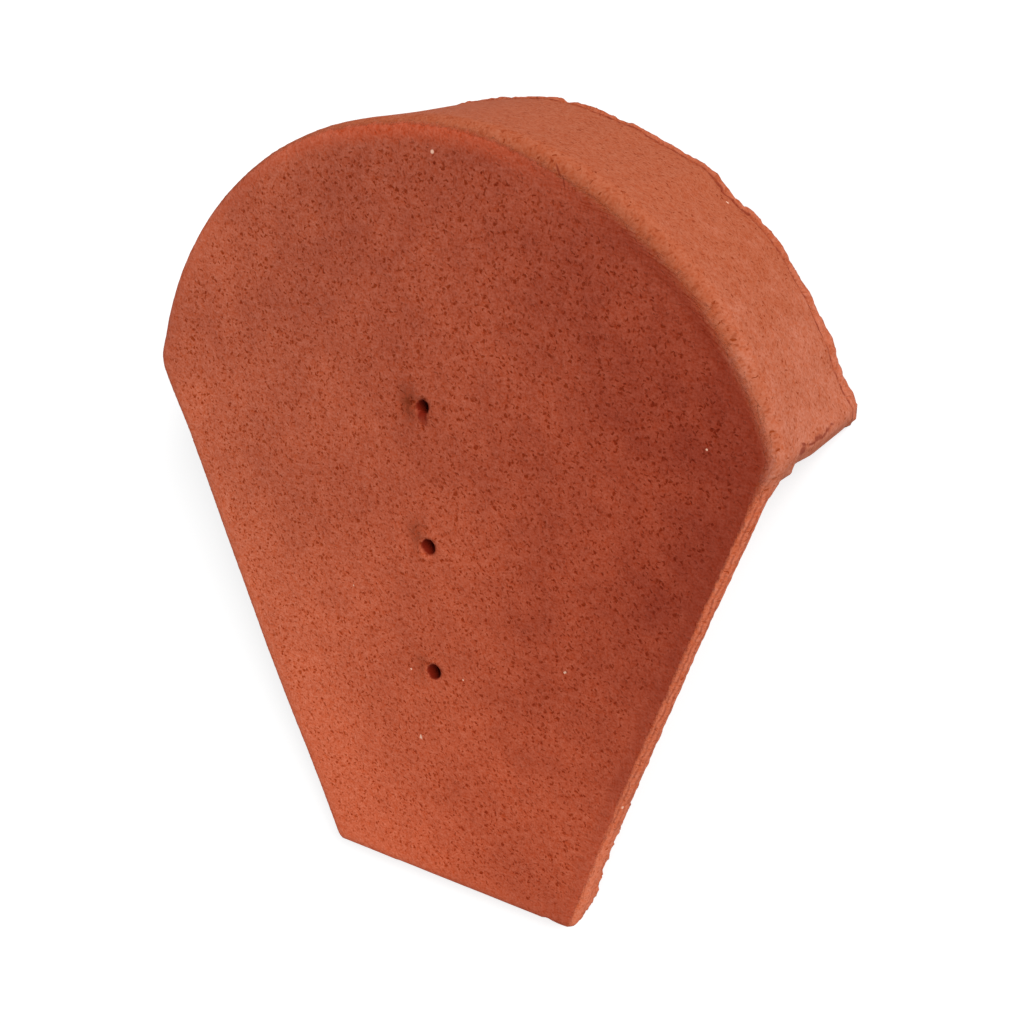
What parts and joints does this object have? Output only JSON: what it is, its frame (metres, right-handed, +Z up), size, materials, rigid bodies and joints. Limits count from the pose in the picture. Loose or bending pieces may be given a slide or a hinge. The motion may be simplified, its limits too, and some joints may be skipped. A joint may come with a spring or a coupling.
{
  "type": "clay roof tile",
  "caption": "Domed ridge-end closure tile of unglazed fired red clay, with a tapering tail, an arched flange behind the dome and nail holes on its centre line.",
  "frame": {"origin": "on the ground under the middle of the tile's bounding box, the tile lying face up on its flange feet and the back edge of its tail", "axes": "+Z up, +Y from the tail towards the dome, +X to the right as seen from the front of the tile"},
  "size_m": [0.2502, 0.2898, 0.0847],
  "materials": {
    "fired_clay": "matte, unglazed, with dark pores"
  },
  "bodies": {
    "root": {"tile_body": "fired_clay"}
  },
  "joints": []
}
